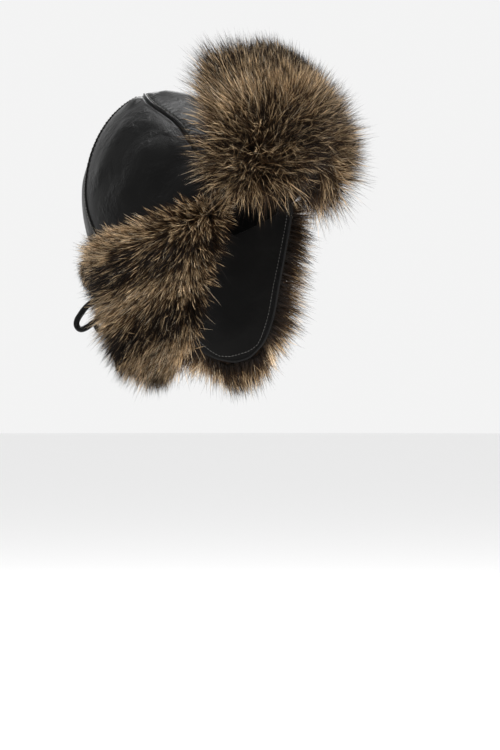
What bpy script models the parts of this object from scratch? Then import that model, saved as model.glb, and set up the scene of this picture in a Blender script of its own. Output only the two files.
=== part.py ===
"""Winter trapper hat: a black leather crown of four gores, a fur front flap turned up over the forehead,
fur ear flaps, a fur neck flap and a leather tie in a bow behind the neck.

Units are metres. +Z is up, the face opening looks along -Y and the wearer's left is +X. The origin is the
middle of the head opening. The crown is drawn in its own leaning frame, (across, back, rise), which is
turned back about X by HAT_TILT, as the hat is worn. A bearing is an angle round the head: 0 at the front,
a quarter turn at the wearer's left.
"""

import math

import bmesh
import bpy
from mathutils import Matrix, Vector

# Crown
HAT_TILT = math.radians(20.0)
HALF_WIDTH = 0.085
HALF_LENGTH_FRONT = 0.108
HALF_LENGTH_BACK = 0.106
CROWN_HEIGHT = 0.121
APEX_SETBACK = 0.018
DOME_POWER = 1.75
CROWN_LEATHER = 0.0022
FRONT_SEAM = math.radians(60.2)
FRONT_SEAM_SWING = math.radians(10.0)
FRONT_SWING_START = 0.42
FRONT_SWING_RUN = 0.33
BACK_SEAM = math.radians(135.0)
BACK_SEAM_SWING = math.radians(7.5)
BACK_SWING_RUN = 0.35
APEX_RADIUS = 0.0012
EDGE_DROP_SIDE = 0.014
EDGE_DROP_BACK = 0.008
SEAM_GAP = 0.0006
GORE_COLUMNS = {"crown_front": 14, "crown_left": 9, "crown_back": 10, "crown_right": 9}
GORE_ROWS = 11

# Soft folds of the leather. Each is a straight run on the wall that stands out by its depth, or dents it if
# the depth is negative. Heights are shares of the crown's height and half widths of its half width.
CROWN_FOLDS = [
    # (first bearing, first height, last bearing, last height, half width, depth)
    (-112.0, 0.08, -78.0, 0.52, 0.19, 0.0020),
    (-124.0, 0.30, -92.0, 0.76, 0.15, 0.0014),
    (-84.0, 0.06, -66.0, 0.30, 0.14, -0.0018),
    (-70.0, 0.86, -98.0, 0.88, 0.10, 0.0012),
    (-48.0, 0.80, -20.0, 0.62, 0.12, 0.0016),
    (-176.0, 0.20, -150.0, 0.62, 0.18, 0.0014),
    (70.0, 0.12, 104.0, 0.50, 0.19, 0.0018),
    (122.0, 0.28, 96.0, 0.74, 0.15, -0.0014),
    (44.0, 0.78, 18.0, 0.60, 0.12, 0.0014),
    (178.0, 0.55, 152.0, 0.24, 0.16, 0.0014),
]

# Flaps
FLAP_LEATHER = 0.0020
EAR_FLAP_LENGTH = 0.113
EAR_FLAP_HUG = 0.06
EAR_FLAP_ROWS = [
    # (share of the length, bearing of the front edge, bearing of the back edge)
    (0.00, 56.0, 132.0),
    (0.25, 69.0, 134.5),
    (0.50, 80.0, 138.0),
    (0.75, 89.0, 136.0),
    (0.92, 98.0, 128.0),
    (1.00, 106.0, 119.0),
]
NECK_FLAP_LENGTH = 0.014
NECK_FLAP_GAP = math.radians(1.6)
FRONT_FLAP_RISE = 0.086
FRONT_FLAP_BASE = 0.002
FRONT_FLAP_CORNER = math.radians(4.0)
FRONT_FLAP_BASE_SPREAD = math.radians(EAR_FLAP_ROWS[0][1]) - FRONT_FLAP_CORNER
FRONT_FLAP_TOP_SPREAD = math.radians(41.0)
FRONT_FLAP_END_DROOP = 0.13
FRONT_FLAP_LEAN = 0.07
FRONT_FLAP_SEAT = 0.0006
FRONT_FLAP_STAND = 0.003

# Fur: the pile stands on a padded root layer and ends in locks. A turn is how far the locks at one edge of a
# flap lie from level towards straight down, first at the flap's top and then at its bottom.
FUR_GAP = 0.0006
ROOT_EDGE = 0.45
FRONT_PILE = 0.055
FRONT_ROOT_LAYER = 0.014
FRONT_FAN_BASE = 1.0
FRONT_FAN = 2.2
FRONT_CLIMB_BASE = -50.0
FRONT_CLIMB_CORNER = -42.0
FRONT_CLIMB_TOP = 84.0
FRONT_TOP_SHARE = 0.76
FRONT_TOP_CORNER = 0.18
FRONT_CORNER_CUT = 0.29
EAR_PILE = 0.037
EAR_ROOT_LAYER = 0.009
EAR_TOP_SHARE = 0.80
EAR_CORNER_CUT = 0.35
EAR_FRONT_TURN_TOP = math.radians(66.0)
EAR_FRONT_TURN_MOST = math.radians(122.0)
EAR_FRONT_TURN_END = math.radians(106.0)
EAR_FRONT_TURN_SHARE = 0.28
EAR_REAR_TURN = (math.radians(-22.0), math.radians(62.0))
NECK_PILE = 0.020
NECK_ROOT_LAYER = 0.005
NECK_END_CUT = 0.45
NECK_REACH = 0.30
LOCK_STAND = 0.66
LOCK_SWEEP = 0.75
LOCK_SPREAD = 0.55
LOCK_WAIST = 0.50
LOCK_WAIST_WIDTH = 0.72

# Leather tie: the knot hangs behind the neck, below the neck flap's fur.
LACE_DIAMETER = 0.0055
LACE_SEAT = 0.0004
KNOT_SIZE = Vector((0.017, 0.014, 0.013))
KNOT_BEHIND = 0.003
KNOT_BELOW = 0.0145
TIE_DROP = 0.078
TIE_INSET = math.radians(8.0)
BOW_LOOP_ROUTE = [
    # (to the side, back, up) from the middle of the knot
    (0.0088, 0.0148, 0.0142),
    (0.0140, 0.0242, 0.0082),
    (0.0180, 0.0315, -0.0025),
    (0.0190, 0.0330, -0.0085),
    (0.0188, 0.0308, -0.0125),
    (0.0178, 0.0274, -0.0132),
    (0.0155, 0.0230, -0.0108),
    (0.0120, 0.0180, -0.0066),
]
BOW_TAIL_ROUTE = [
    # (to the side, back, up) from the middle of the knot
    (0.0130, -0.0040, -0.0300),
    (0.0145, -0.0080, -0.0510),
]


def smooth(value):
    """Eases 0 to 1, flat at both ends."""
    value = min(max(value, 0.0), 1.0)
    return value * value * (3.0 - 2.0 * value)


def mix(first, second, share):
    return first + (second - first) * share


def to_hat(across, back, rise):
    """A point or direction of the crown's leaning frame, in the hat's upright frame."""
    return Matrix.Rotation(-HAT_TILT, 3, "X") @ Vector((across, back, rise))


def wall_point(bearing, rise, scale=1.0):
    """A point of the outer wall: a dome above the opening, and flaps that draw in towards the neck below."""
    share = rise / CROWN_HEIGHT
    if share > 0.0:
        reach = (1.0 - min(share, 1.0) ** DOME_POWER) ** (1.0 / DOME_POWER)
    else:
        reach = 1.0 - EAR_FLAP_HUG * (rise / EAR_FLAP_LENGTH) ** 2
    half_length = mix(HALF_LENGTH_BACK, HALF_LENGTH_FRONT, 0.5 + 0.5 * math.cos(bearing))
    across = HALF_WIDTH * reach * scale * math.sin(bearing)
    back = APEX_SETBACK * max(share, 0.0) - half_length * reach * scale * math.cos(bearing)
    return to_hat(across, back, rise)


def off_wall(bearing, rise, distance):
    """A point this far out from the wall, level with it in the leaning frame."""
    point = wall_point(bearing, rise)
    away = wall_point(bearing, rise, 1.02) - point
    return point + away.normalized() * distance


def fold(place):
    """How far the leather stands out from the plain wall at a place of the crown."""
    stand = 0.0
    for first, low, last, high, half_width, depth in CROWN_FOLDS:
        start = wall_point(math.radians(first), low * CROWN_HEIGHT)
        run = wall_point(math.radians(last), high * CROWN_HEIGHT) - start
        along = (place - start).dot(run) / run.length_squared
        nearest = start + run * min(max(along, 0.0), 1.0)
        off = (place - nearest).length / (half_width * HALF_WIDTH)
        stand += depth * smooth(min(along, 1.0 - along) / 0.3) * math.exp(-off * off)
    return stand


def crown_edge(bearing):
    """The height of the crown's lower edge: level with the opening in front and lower over the ears."""
    side = math.sin(bearing) ** 2
    behind = smooth(0.5 - 0.5 * math.cos(bearing))
    return -EDGE_DROP_SIDE * side - EDGE_DROP_BACK * behind * (1.0 - side)


def frame_of(surface, u, v):
    """The unit normal of a surface away from the head, and its unit direction of growing v."""
    step = 1e-3
    du = surface(u + step, v) - surface(u - step, v)
    dv = surface(u, v + step) - surface(u, v - step)
    normal = du.cross(dv).normalized()
    if normal.dot(surface(u, v) - to_hat(0.0, 0.0, 0.0)) < 0.0:
        normal = -normal
    return normal, dv.normalized()


def material(name, colour, roughness):
    made = bpy.data.materials.new(name)
    made.use_nodes = True
    shader = made.node_tree.nodes["Principled BSDF"]
    shader.inputs["Base Color"].default_value = (*colour, 1.0)
    shader.inputs["Roughness"].default_value = roughness
    shader.inputs["Metallic"].default_value = 0.0
    return made


def grid(surface, columns, rows):
    """A bmesh grid laid on a surface, with the shares (u, v) of each vertex. It faces away from the head."""
    mesh = bmesh.new()
    bmesh.ops.create_grid(mesh, x_segments=columns, y_segments=rows, size=1.0)
    shares = {vert: (0.5 + 0.5 * vert.co.x, 0.5 + 0.5 * vert.co.y) for vert in mesh.verts}
    for vert, (u, v) in shares.items():
        vert.co = surface(u, v)
    mesh.normal_update()
    face = next(iter(mesh.faces))
    if face.normal.dot(face.calc_center_median() - to_hat(0.0, 0.0, 0.0)) < 0.0:
        bmesh.ops.reverse_faces(mesh, faces=mesh.faces[:])
    return mesh, shares


def finish(mesh, name, look, collection):
    data = bpy.data.meshes.new(name)
    mesh.to_mesh(data)
    mesh.free()
    data.materials.append(look)
    data.shade_smooth()
    data.set_sharp_from_angle(angle=math.radians(40.0))
    piece = bpy.data.objects.new(name, data)
    collection.objects.link(piece)
    return piece


def leather_panel(name, surface, columns, rows, thickness, look, collection):
    """An open leather sheet, thickened towards the head."""
    mesh, _ = grid(surface, columns, rows)
    piece = finish(mesh, name, look, collection)
    wall = piece.modifiers.new("thickness", "SOLIDIFY")
    wall.thickness = thickness
    wall.offset = -1.0
    wall.use_even_offset = True


def seam_bearing(seam, v):
    """A seam's bearing at a share of the way up. All swing back: front seams high up, back seams low down."""
    if abs(seam) == FRONT_SEAM:
        swing = FRONT_SEAM_SWING * smooth((v - FRONT_SWING_START) / FRONT_SWING_RUN)
    else:
        swing = BACK_SEAM_SWING * smooth(v / BACK_SWING_RUN)
    return seam + swing if 0.0 < seam < math.pi else seam - swing


def gore(first, last):
    """The surface of one crown gore between two seams: u runs across it and v runs up to the apex."""
    top = CROWN_HEIGHT * (1.0 - (APEX_RADIUS / HALF_WIDTH) ** DOME_POWER) ** (1.0 / DOME_POWER)

    def surface(u, v):
        near, far = seam_bearing(first, v), seam_bearing(last, v)
        bearing = mix(near, far, u)
        climb = math.sin(0.5 * math.pi * max(v, 0.0)) ** (2.0 / DOME_POWER)
        rise = mix(crown_edge(bearing), top, climb)
        radius = (wall_point(bearing, rise) - wall_point(bearing + math.pi, rise)).length / 2.0
        inset = 0.5 * SEAM_GAP / max(radius, APEX_RADIUS)
        plain = wall_point(mix(near + inset, far - inset, u), rise)
        inner = smooth(min(u, 1.0 - u) / 0.15) * smooth(min(v, 1.0 - v) / 0.1)
        return plain + (plain - to_hat(0.0, 0.0, 0.0)).normalized() * fold(plain) * inner

    return surface


def front_flap_surface(outward):
    """The front flap, this far out from the crown at its base. u runs right to left and v runs up."""

    def surface(u, v):
        side = 2.0 * u - 1.0
        bearing = side * mix(FRONT_FLAP_BASE_SPREAD, FRONT_FLAP_TOP_SPREAD, v)
        base = FRONT_FLAP_BASE + crown_edge(bearing)
        rise = mix(base, FRONT_FLAP_RISE * (1.0 - FRONT_FLAP_END_DROOP * abs(side) ** 3), v)
        off = outward + FRONT_FLAP_STAND * smooth(v / 0.3)
        scale = 1.0 - FRONT_FLAP_LEAN * v
        across = (HALF_WIDTH + off) * scale * math.sin(bearing)
        back = -(HALF_LENGTH_FRONT + off) * scale * math.cos(bearing)
        return to_hat(across, back, rise)

    return surface


def ear_flap_edges(share):
    """The bearings of an ear flap's front and back edges at a share of its length."""
    share = min(max(share, 0.0), 1.0)
    for above, below in zip(EAR_FLAP_ROWS, EAR_FLAP_ROWS[1:]):
        if share <= below[0]:
            break
    along = (share - above[0]) / (below[0] - above[0])
    return math.radians(mix(above[1], below[1], along)), math.radians(mix(above[2], below[2], along))


def ear_flap_surface(side, outward):
    """An ear flap: u runs front to back and v runs down. The side is 1 for the left and -1 for the right."""

    def surface(u, v):
        bearing = mix(*ear_flap_edges(v), u)
        return off_wall(side * bearing, crown_edge(bearing) - SEAM_GAP - EAR_FLAP_LENGTH * v, outward)

    return surface


def neck_flap_surface(outward):
    """The neck flap between the two ear flaps: u runs left to right behind the head and v runs down."""

    def surface(u, v):
        _, edge = ear_flap_edges(v * NECK_FLAP_LENGTH / EAR_FLAP_LENGTH)
        first = edge + NECK_FLAP_GAP
        bearing = mix(first, 2.0 * math.pi - first, u)
        return off_wall(bearing, crown_edge(bearing) - SEAM_GAP - NECK_FLAP_LENGTH * v, outward)

    return surface


def front_lie(surface, u, v):
    """The front flap's pile fans to both sides, hangs at the base and stands up at the top."""
    side = 2.0 * u - 1.0
    fan = mix(FRONT_FAN_BASE, FRONT_FAN, smooth(v / 0.35))
    bearing = fan * side * mix(FRONT_FLAP_BASE_SPREAD, FRONT_FLAP_TOP_SPREAD, v)
    low = mix(FRONT_CLIMB_BASE, FRONT_CLIMB_CORNER, smooth((abs(side) - 0.45) / 0.45))
    climb = math.radians(mix(low, FRONT_CLIMB_TOP, smooth(v) ** 0.85))
    flat = math.cos(climb)
    return to_hat(math.sin(bearing) * flat, -math.cos(bearing) * flat, math.sin(climb))


def front_length(u, v):
    """The pile is shorter along the top, less so at its corners, and where it meets the ear flaps."""
    side = abs(2.0 * u - 1.0)
    low_corner = smooth((side - 0.6) / 0.4) * smooth((0.45 - v) / 0.45)
    along_top = smooth((v - 0.45) / 0.4)
    top = FRONT_TOP_SHARE + FRONT_TOP_CORNER * smooth((side - 0.4) / 0.6)
    return FRONT_PILE * (mix(1.0, top, along_top) - FRONT_CORNER_CUT * low_corner)


def swept(surface, u, v, behind, turn):
    """A lie that stands off a hanging flap and sweeps this way behind, turned down by an angle."""
    outward, down = frame_of(surface, u, v)
    level = outward.cross(down)
    if level.dot(behind) < 0.0:
        level = -level
    along = level * math.cos(turn) + down * math.sin(turn)
    return (outward * LOCK_STAND + along * LOCK_SWEEP).normalized()


def ear_lie(surface, u, v):
    """An ear flap's pile sweeps back and down from its front corner, and forward along its front edge."""
    before = mix(EAR_FRONT_TURN_TOP, EAR_FRONT_TURN_MOST, smooth(v / EAR_FRONT_TURN_SHARE))
    below = smooth((v - EAR_FRONT_TURN_SHARE) / (1.0 - EAR_FRONT_TURN_SHARE))
    before = mix(before, EAR_FRONT_TURN_END, below)
    return swept(surface, u, v, Vector((0.0, 1.0, 0.0)), mix(before, mix(*EAR_REAR_TURN, v), smooth(u)))


def ear_length(u, v):
    """The pile is shorter under the front flap and fuller at the flap's lower end."""
    corner = smooth((0.35 - u) / 0.35) * smooth((0.40 - v) / 0.40)
    return EAR_PILE * (mix(EAR_TOP_SHARE, 1.0, smooth(v * 1.6)) - EAR_CORNER_CUT * corner)


def neck_lie(surface, u, v):
    """The neck flap's pile lies as on the ear flaps at its ends and straight down at the middle."""
    side = 2.0 * u - 1.0
    end_turn = mix(*EAR_REAR_TURN, v * NECK_FLAP_LENGTH / EAR_FLAP_LENGTH)
    turn = mix(math.radians(90.0), end_turn, smooth(abs(side)))
    return swept(surface, u, v, Vector((side, 0.0, 0.0)), turn)


def neck_length(u, v):
    """The pile is shorter where it meets the ear flaps."""
    return NECK_PILE * (1.0 - NECK_END_CUT * smooth((abs(2.0 * u - 1.0) - 0.7) / 0.3))


def everywhere(u, v):
    return True


def clear_of_neck(u, v):
    """The upper part of an ear flap's back edge, which meets the neck flap's fur, grows no locks."""
    return u < 0.999 or v > NECK_REACH


def clear_of_ears(u, v):
    """The neck flap's two ends grow no locks."""
    return 0.001 < u < 0.999


def fur(name, surface, cells, root_layer, lie_of, length_of, grows, look, collection):
    """A padded root layer laid on a surface, with its outer faces drawn out into bent locks."""
    mesh, shares = grid(surface, *cells)
    roots = {tuple(vert.co): pair for vert, pair in shares.items()}
    inner = set(mesh.faces)
    lifted = bmesh.ops.extrude_face_region(mesh, geom=mesh.faces[:], use_keep_orig=True)
    for vert in [part for part in lifted["geom"] if isinstance(part, bmesh.types.BMVert)]:
        u, v = shares[vert] = roots[tuple(vert.co)]
        inside = smooth(min(u, 1.0 - u, v, 1.0 - v) * 5.0)
        vert.co += frame_of(surface, u, v)[0] * root_layer * mix(ROOT_EDGE, 1.0, inside)
    bmesh.ops.recalc_face_normals(mesh, faces=mesh.faces[:])
    mesh.normal_update()
    locks = []
    for face in mesh.faces:
        u = sum(shares[vert][0] for vert in face.verts) / len(face.verts)
        v = sum(shares[vert][1] for vert in face.verts) / len(face.verts)
        if face not in inner and grows(u, v):
            lie = (lie_of(surface, u, v) + face.normal * LOCK_SPREAD).normalized()
            locks.append((face, face.calc_center_median(), lie * (length_of(u, v) - root_layer / 2.0)))
    waists = bmesh.ops.extrude_discrete_faces(mesh, faces=[face for face, _, _ in locks])["faces"]
    for waist, (_, base, reach) in zip(waists, locks):
        for vert in waist.verts:
            vert.co = base + (vert.co - base) * LOCK_WAIST_WIDTH + reach * LOCK_WAIST
    tips = bmesh.ops.poke(mesh, faces=waists)["verts"]
    for tip, (_, base, reach) in zip(tips, locks):
        tip.co = base + reach
    finish(mesh, name, look, collection)


def curve_through(points, spacing):
    """Points at an even spacing on a smooth curve through a route's own points."""
    ends = [2 * points[0] - points[1], *points, 2 * points[-1] - points[-2]]
    fine = []
    for before, start, stop, after in zip(ends, ends[1:], ends[2:], ends[3:]):
        for step in range(12):
            t = step / 12.0
            square = 2.0 * before - 5.0 * start + 4.0 * stop - after
            cube = 3.0 * start - before - 3.0 * stop + after
            fine.append(0.5 * (2.0 * start + (stop - before) * t + square * t**2 + cube * t**3))
    fine.append(points[-1])
    total = sum((after - before).length for before, after in zip(fine, fine[1:]))
    stretch = total / max(2, round(total / spacing))
    even = [fine[0]]
    walked = 0.0
    for before, after in zip(fine, fine[1:]):
        walked += (after - before).length
        if walked >= stretch and len(even) * stretch < total - stretch / 2.0:
            even.append(after.copy())
            walked -= stretch
    return [*even, fine[-1]]


def lace(name, points, look, collection):
    """A round leather lace along a smooth route."""
    data = bpy.data.curves.new(name, "CURVE")
    data.dimensions = "3D"
    data.bevel_depth = LACE_DIAMETER / 2.0
    data.bevel_resolution = 2
    data.use_fill_caps = True
    route = curve_through(points, LACE_DIAMETER * 1.5)
    spline = data.splines.new("POLY")
    spline.points.add(len(route) - 1)
    for place, point in zip(spline.points, route):
        place.co = (*point, 1.0)
    data.materials.append(look)
    collection.objects.link(bpy.data.objects.new(name, data))


def build_crown(leather, collection):
    seams = {
        "crown_front": (-FRONT_SEAM, FRONT_SEAM),
        "crown_left": (FRONT_SEAM, BACK_SEAM),
        "crown_back": (BACK_SEAM, 2.0 * math.pi - BACK_SEAM),
        "crown_right": (-BACK_SEAM, -FRONT_SEAM),
    }
    for name, (first, last) in seams.items():
        panel = gore(first, last)
        leather_panel(name, panel, GORE_COLUMNS[name], GORE_ROWS, CROWN_LEATHER, leather, collection)


def build_front_flap(leather, pelt, collection):
    outer = FRONT_FLAP_SEAT + FLAP_LEATHER
    leather_panel("front_flap", front_flap_surface(outer), 14, 5, FLAP_LEATHER, leather, collection)
    skin = front_flap_surface(outer + FUR_GAP)
    looks = (everywhere, pelt, collection)
    fur("front_flap_fur", skin, (14, 7), FRONT_ROOT_LAYER, front_lie, front_length, *looks)


def build_ear_flap(word, side, leather, pelt, collection):
    name = f"ear_flap_{word}"
    leather_panel(name, ear_flap_surface(side, 0.0), 8, 8, FLAP_LEATHER, leather, collection)
    skin = ear_flap_surface(side, FUR_GAP)
    looks = (clear_of_neck, pelt, collection)
    fur(f"{name}_fur", skin, (9, 9), EAR_ROOT_LAYER, ear_lie, ear_length, *looks)


def build_neck_flap(leather, pelt, collection):
    leather_panel("neck_flap", neck_flap_surface(0.0), 12, 3, FLAP_LEATHER, leather, collection)
    looks = (clear_of_ears, pelt, collection)
    fur("neck_flap_fur", neck_flap_surface(FUR_GAP), (12, 3), NECK_ROOT_LAYER, neck_lie, neck_length, *looks)


def build_tie(leather, collection):
    """A lace from each ear flap's inner face to a knot behind the neck, with two loops and two ends."""
    below = EDGE_DROP_BACK + SEAM_GAP + NECK_FLAP_LENGTH + NECK_PILE + KNOT_BELOW
    middle = to_hat(0.0, HALF_LENGTH_BACK + KNOT_BEHIND, -below)
    bpy.ops.mesh.primitive_uv_sphere_add(segments=14, ring_count=9, radius=0.5, location=middle)
    knot = bpy.context.object
    knot.name = "bow_knot"
    knot.data.transform(Matrix.Diagonal((*KNOT_SIZE, 1.0)))
    knot.data.materials.append(leather)
    knot.data.shade_smooth()
    knot.users_collection[0].objects.unlink(knot)
    collection.objects.link(knot)

    def at_knot(toward, stand):
        """A lace's first point off the knot towards a direction, or one this much further out."""
        toward = Vector(toward).normalized()
        reach = 1.0 / Vector(2.0 * part / size for part, size in zip(toward, KNOT_SIZE)).length
        return middle + toward * (reach + LACE_SEAT + stand)

    _, flap_edge = ear_flap_edges(TIE_DROP / EAR_FLAP_LENGTH)
    inside = -FLAP_LEATHER - LACE_SEAT - LACE_DIAMETER / 2.0
    tie = []
    for share in (-1.0, -0.4, 0.2):
        bearing = flap_edge + share * TIE_INSET
        tie.append(off_wall(bearing, crown_edge(bearing) - TIE_DROP, inside))
    into_side = (1.0, -0.25, -0.15)
    tie += [at_knot(into_side, 0.012), at_knot(into_side, 0.0)]

    out_of_top = (0.45, 0.85, 0.55)
    into_back = (0.50, 0.90, -0.30)
    loop = [at_knot(out_of_top, 0.0), at_knot(out_of_top, 0.004)]
    loop += [middle + Vector(point) for point in BOW_LOOP_ROUTE]
    loop += [at_knot(into_back, 0.005), at_knot(into_back, 0.0)]

    out_below = (0.55, -0.10, -0.95)
    tail = [at_knot(out_below, 0.0), at_knot(out_below, 0.006)]
    tail += [middle + Vector(point) for point in BOW_TAIL_ROUTE]

    for name, route in (("tie", tie), ("bow_loop", loop), ("bow_tail", tail)):
        for word, side in (("left", 1.0), ("right", -1.0)):
            lace(f"{name}_{word}", [point * Vector((side, 1.0, 1.0)) for point in route], leather, collection)


def main():
    for old in list(bpy.data.objects):
        bpy.data.objects.remove(old)
    collection = bpy.data.collections.new("trapper_hat")
    bpy.context.scene.collection.children.link(collection)
    leather = material("black_leather", (0.012, 0.012, 0.013), 0.42)
    pelt = material("raccoon_fur", (0.085, 0.058, 0.038), 0.75)
    build_crown(leather, collection)
    build_front_flap(leather, pelt, collection)
    build_ear_flap("left", 1.0, leather, pelt, collection)
    build_ear_flap("right", -1.0, leather, pelt, collection)
    build_neck_flap(leather, pelt, collection)
    build_tie(leather, collection)


main()
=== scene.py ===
# %% [markdown]
# # Winter trapper hat
#
# The looks of a black leather hat with raccoon fur flaps, made on the frame of its CAD model. Every object is
# in metres. +Z is up, the face opening looks along -Y and the wearer's left is +X. A bearing is an angle
# round the head: 0 at the front, a quarter turn at the wearer's left.

import math

import bpy
import numpy as np
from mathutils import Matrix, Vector


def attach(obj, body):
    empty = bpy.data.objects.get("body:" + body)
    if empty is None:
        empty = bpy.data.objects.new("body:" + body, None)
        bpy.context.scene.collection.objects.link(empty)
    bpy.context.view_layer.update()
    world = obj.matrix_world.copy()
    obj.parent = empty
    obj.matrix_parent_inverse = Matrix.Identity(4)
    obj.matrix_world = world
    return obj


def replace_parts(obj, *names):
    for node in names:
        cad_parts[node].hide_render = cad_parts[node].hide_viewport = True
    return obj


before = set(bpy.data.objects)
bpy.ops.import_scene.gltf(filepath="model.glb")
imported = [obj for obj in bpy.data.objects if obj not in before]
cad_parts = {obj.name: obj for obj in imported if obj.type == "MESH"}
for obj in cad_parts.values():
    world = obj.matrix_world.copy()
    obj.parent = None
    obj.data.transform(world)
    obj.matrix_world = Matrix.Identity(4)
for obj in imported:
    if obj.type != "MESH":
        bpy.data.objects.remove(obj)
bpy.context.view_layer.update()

# %% [markdown]
# ## Camera
#
# Level with the middle of the picture, 65 degrees round from the front on the wearer's right. One picture
# element is 0.9 mm at the hat.

# %% Camera
PIXEL = 0.0009
VIEW_TURN = math.radians(65.0)
CAMERA_DISTANCE = 2.6
CAMERA_AIM = (50 * PIXEL, -162 * PIXEL)
PICTURE_HEIGHT = 750
SENSOR = 36.0
view_right = Vector((math.cos(VIEW_TURN), -math.sin(VIEW_TURN), 0.0))
view_toward = Vector((-math.sin(VIEW_TURN), -math.cos(VIEW_TURN), 0.0))
aim = view_right * CAMERA_AIM[0] + Vector((0.0, 0.0, CAMERA_AIM[1]))
bpy.ops.object.camera_add(location=aim + view_toward * CAMERA_DISTANCE)
camera = bpy.context.object
camera.name = "camera"
camera.rotation_euler = (-view_toward).to_track_quat("-Z", "Y").to_euler()
camera.data.sensor_width = SENSOR
camera.data.lens = SENSOR * CAMERA_DISTANCE / (PICTURE_HEIGHT * PIXEL)
camera.data.clip_end = 50.0
bpy.context.scene.camera = camera
print("camera at", [round(x, 2) for x in camera.location], "lens", round(camera.data.lens, 1))

# %% [markdown]
# ## The hat's surfaces
#
# The crown is drawn in a leaning frame, turned back about X as the hat is worn. These functions take whole
# arrays of bearings and heights, and give arrays of points.

# %% Small array helpers
HAT_TILT = math.radians(20.0)


def smooth(value):
    """Eases 0 to 1, flat at both ends."""
    value = np.clip(value, 0.0, 1.0)
    return value * value * (3.0 - 2.0 * value)


def mix(first, second, share):
    return first + (second - first) * share


def unit(vectors):
    return vectors / np.maximum(np.linalg.norm(vectors, axis=-1, keepdims=True), 1e-12)


def dot(first, second):
    return np.sum(first * second, axis=-1, keepdims=True)


def to_hat(across, back, rise):
    """Points or directions of the leaning frame, in the hat's upright frame."""
    across, back, rise = np.broadcast_arrays(across, back, rise)
    cos, sin = math.cos(HAT_TILT), math.sin(HAT_TILT)
    return np.stack([across, back * cos + rise * sin, rise * cos - back * sin], axis=-1)


MIDDLE = to_hat(0.0, 0.0, 0.0)
print("leaning frame ready, tilt", round(math.degrees(HAT_TILT), 1), "degrees")

# %% Wall of the crown and flaps
HALF_WIDTH = 0.085
HALF_LENGTH_FRONT = 0.108
HALF_LENGTH_BACK = 0.106
CROWN_HEIGHT = 0.121
APEX_SETBACK = 0.018
DOME_POWER = 1.75
EDGE_DROP_SIDE = 0.014
EDGE_DROP_BACK = 0.008
SEAM_GAP = 0.0006
EAR_FLAP_LENGTH = 0.113
EAR_FLAP_HUG = 0.06


def wall_point(bearing, rise, scale=1.0):
    """Points of the outer wall: a dome above the opening, and flaps that draw in towards the neck below."""
    share = rise / CROWN_HEIGHT
    dome = (1.0 - np.clip(share, 0.0, 1.0) ** DOME_POWER) ** (1.0 / DOME_POWER)
    reach = np.where(share > 0.0, dome, 1.0 - EAR_FLAP_HUG * (rise / EAR_FLAP_LENGTH) ** 2)
    half_length = mix(HALF_LENGTH_BACK, HALF_LENGTH_FRONT, 0.5 + 0.5 * np.cos(bearing))
    across = HALF_WIDTH * reach * scale * np.sin(bearing)
    back = APEX_SETBACK * np.maximum(share, 0.0) - half_length * reach * scale * np.cos(bearing)
    return to_hat(across, back, rise)


def off_wall(bearing, rise, distance):
    """Points this far out from the wall, level with it in the leaning frame."""
    point = wall_point(bearing, rise)
    return point + unit(wall_point(bearing, rise, 1.02) - point) * distance


def crown_edge(bearing):
    """The height of the crown's lower edge: level in front and lower over the ears."""
    side = np.sin(bearing) ** 2
    behind = smooth(0.5 - 0.5 * np.cos(bearing))
    return -EDGE_DROP_SIDE * side - EDGE_DROP_BACK * behind * (1.0 - side)


def frame_of(surface, u, v):
    """Unit normals of a surface away from the head, and its unit directions of growing v."""
    step = 1e-3
    du = surface(u + step, v) - surface(u - step, v)
    dv = surface(u, v + step) - surface(u, v - step)
    normal = unit(np.cross(du, dv))
    outward = surface(u, v) - MIDDLE
    return np.where(dot(normal, outward) < 0.0, -normal, normal), unit(dv)


def line_length(line):
    return float(np.linalg.norm(np.diff(line, axis=0), axis=1).sum())


print("outer girth", round(line_length(wall_point(np.linspace(0.0, 2.0 * math.pi, 181), np.zeros(181))), 4))

# %% Flap surfaces
FLAP_LEATHER = 0.0020
EAR_FLAP_ROWS = [
    # (share of the length, bearing of the front edge, bearing of the back edge)
    (0.00, 56.0, 132.0),
    (0.25, 69.0, 134.5),
    (0.50, 80.0, 138.0),
    (0.75, 89.0, 136.0),
    (0.92, 98.0, 128.0),
    (1.00, 106.0, 119.0),
]
NECK_FLAP_LENGTH = 0.014
NECK_FLAP_GAP = math.radians(1.6)
FRONT_FLAP_RISE = 0.086
FRONT_FLAP_BASE = 0.002
FRONT_FLAP_BASE_SPREAD = math.radians(52.0)
FRONT_FLAP_TOP_SPREAD = math.radians(41.0)
FRONT_FLAP_END_DROOP = 0.13
FRONT_FLAP_LEAN = 0.07
FRONT_FLAP_SEAT = 0.0006
FRONT_FLAP_STAND = 0.003


def front_flap_surface(outward):
    """The front flap, this far out from the crown at its base. u runs right to left and v runs up."""

    def surface(u, v):
        side = 2.0 * u - 1.0
        bearing = side * mix(FRONT_FLAP_BASE_SPREAD, FRONT_FLAP_TOP_SPREAD, v)
        base = FRONT_FLAP_BASE + crown_edge(bearing)
        rise = mix(base, FRONT_FLAP_RISE * (1.0 - FRONT_FLAP_END_DROOP * np.abs(side) ** 3), v)
        off = outward + FRONT_FLAP_STAND * smooth(v / 0.3)
        scale = 1.0 - FRONT_FLAP_LEAN * v
        across = (HALF_WIDTH + off) * scale * np.sin(bearing)
        back = -(HALF_LENGTH_FRONT + off) * scale * np.cos(bearing)
        return to_hat(across, back, rise)

    return surface


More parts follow.
